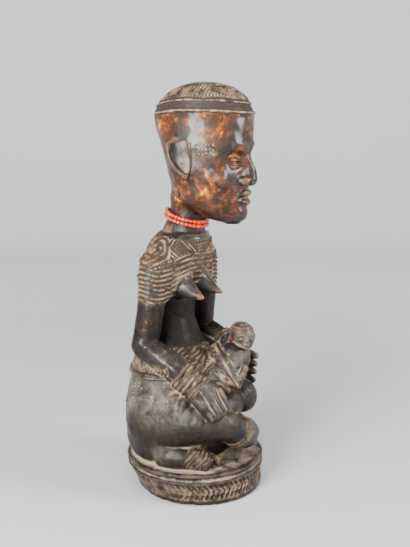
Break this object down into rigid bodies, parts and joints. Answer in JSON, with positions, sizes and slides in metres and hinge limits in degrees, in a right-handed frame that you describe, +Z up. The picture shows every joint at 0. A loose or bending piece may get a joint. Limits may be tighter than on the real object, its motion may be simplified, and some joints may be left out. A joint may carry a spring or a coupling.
{
  "type": "carved maternity figure",
  "caption": "Dark carved wood figure of a woman seated cross-legged on a round base with a small child across her lap, wearing a red glass bead necklace.",
  "frame": {"origin": "centre of the round base's flat underside, under the middle of the base's top", "axes": "+Z up through the figure, -Y the way the woman faces, +X towards her left"},
  "size_m": [0.14, 0.1406, 0.4],
  "materials": {
    "carved_wood": "satin",
    "bead_glass": "gloss",
    "thread": "matte"
  },
  "bodies": {
    "root": {"carved_figure": "carved_wood", "bead_strand_upper": "bead_glass", "bead_strand_lower": "bead_glass", "necklace_knot": "thread"}
  },
  "joints": []
}
